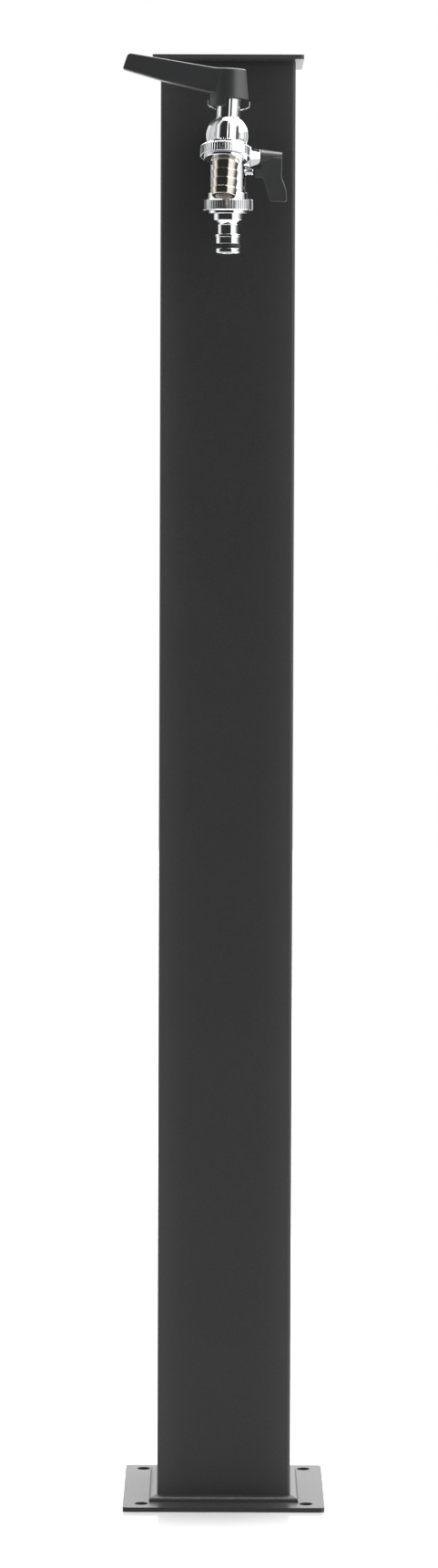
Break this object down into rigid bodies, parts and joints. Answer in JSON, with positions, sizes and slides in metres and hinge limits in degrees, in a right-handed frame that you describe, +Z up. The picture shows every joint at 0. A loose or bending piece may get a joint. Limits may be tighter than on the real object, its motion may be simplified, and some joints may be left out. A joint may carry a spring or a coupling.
{
  "type": "garden tap fountain",
  "caption": "Free-standing square garden water post on a bolt-down floor plate, with a lid, a lever ball tap with hose tail and a second valved outlet with click nozzle.",
  "frame": {"origin": "centre of the floor plate's underside, in the middle of its four bolt holes", "axes": "+Z up the column, -Y to the side with the taps, +X to the right seen from that side"},
  "size_m": [0.1366, 0.2287, 0.976],
  "materials": {
    "powder_coat": "fine textured matt charcoal powder coat",
    "chrome_plate": "polished chrome plate on brass",
    "nickel_plate": "warm nickel plate, satin",
    "brass": "machined",
    "copper": "drawn copper tube",
    "steel": "zinc plated",
    "black_plastic": "moulded, fine grain",
    "black_rubber": "moulded",
    "white_ptfe": "turned"
  },
  "bodies": {
    "post": {"column_tube": "powder_coat", "base_plate": "powder_coat", "base_weld": "powder_coat", "lid_plate": "powder_coat", "lid_seal": "black_rubber", "lid_plug": "powder_coat", "riser_pipe": "copper", "riser_elbow": "brass", "elbow_nut": "brass", "inlet_adapter": "brass", "adapter_nut": "brass", "wall_washer": "black_rubber", "wall_backnut": "brass", "rear_valve_body": "chrome_plate", "rear_ball_seats": "white_ptfe", "rear_seat_ring": "brass", "rear_stem_seal": "white_ptfe", "rear_gland_nut": "chrome_plate", "rear_washer": "black_rubber", "click_nozzle": "chrome_plate", "nozzle_o_ring": "black_rubber", "front_inlet": "chrome_plate", "front_valve_body": "chrome_plate", "front_ball_seats": "white_ptfe", "front_stem_seal": "white_ptfe", "front_gland": "brass", "lever_clip": "chrome_plate", "spout_washer": "black_rubber", "hose_tail": "nickel_plate"},
    "lever": {"lever_handle": "black_plastic", "lever_screw": "steel", "front_stem": "brass", "front_ball": "chrome_plate"},
    "wing": {"wing_handle": "black_plastic", "wing_screw": "steel", "rear_stem": "brass", "rear_ball": "chrome_plate"},
    "spout_nut": {"spout_union_nut": "chrome_plate"},
    "rear_nut": {"rear_union_nut": "chrome_plate"}
  },
  "joints": [
    {"name": "lever_turn", "type": "hinge", "parent": "post", "child": "lever", "pos_m": [-0.00061, -0.117, 0.918], "axis": [0.0454, -0.0006, 0.999], "range_deg": [0, 90]},
    {"name": "wing_turn", "type": "hinge", "parent": "post", "child": "wing", "pos_m": [0, -0.073, 0.9065], "axis": [-1, 0, 0], "range_deg": [0, 90]},
    {"name": "spout_nut_turn", "type": "hinge", "parent": "post", "child": "spout_nut", "pos_m": [-0.00079, -0.14, 0.9213], "axis": [-0.0474, -0.2497, -0.9672], "continuous": true},
    {"name": "rear_nut_turn", "type": "hinge", "parent": "post", "child": "rear_nut", "pos_m": [0, -0.073, 0.8736], "axis": [0, 0, -1], "continuous": true}
  ]
}
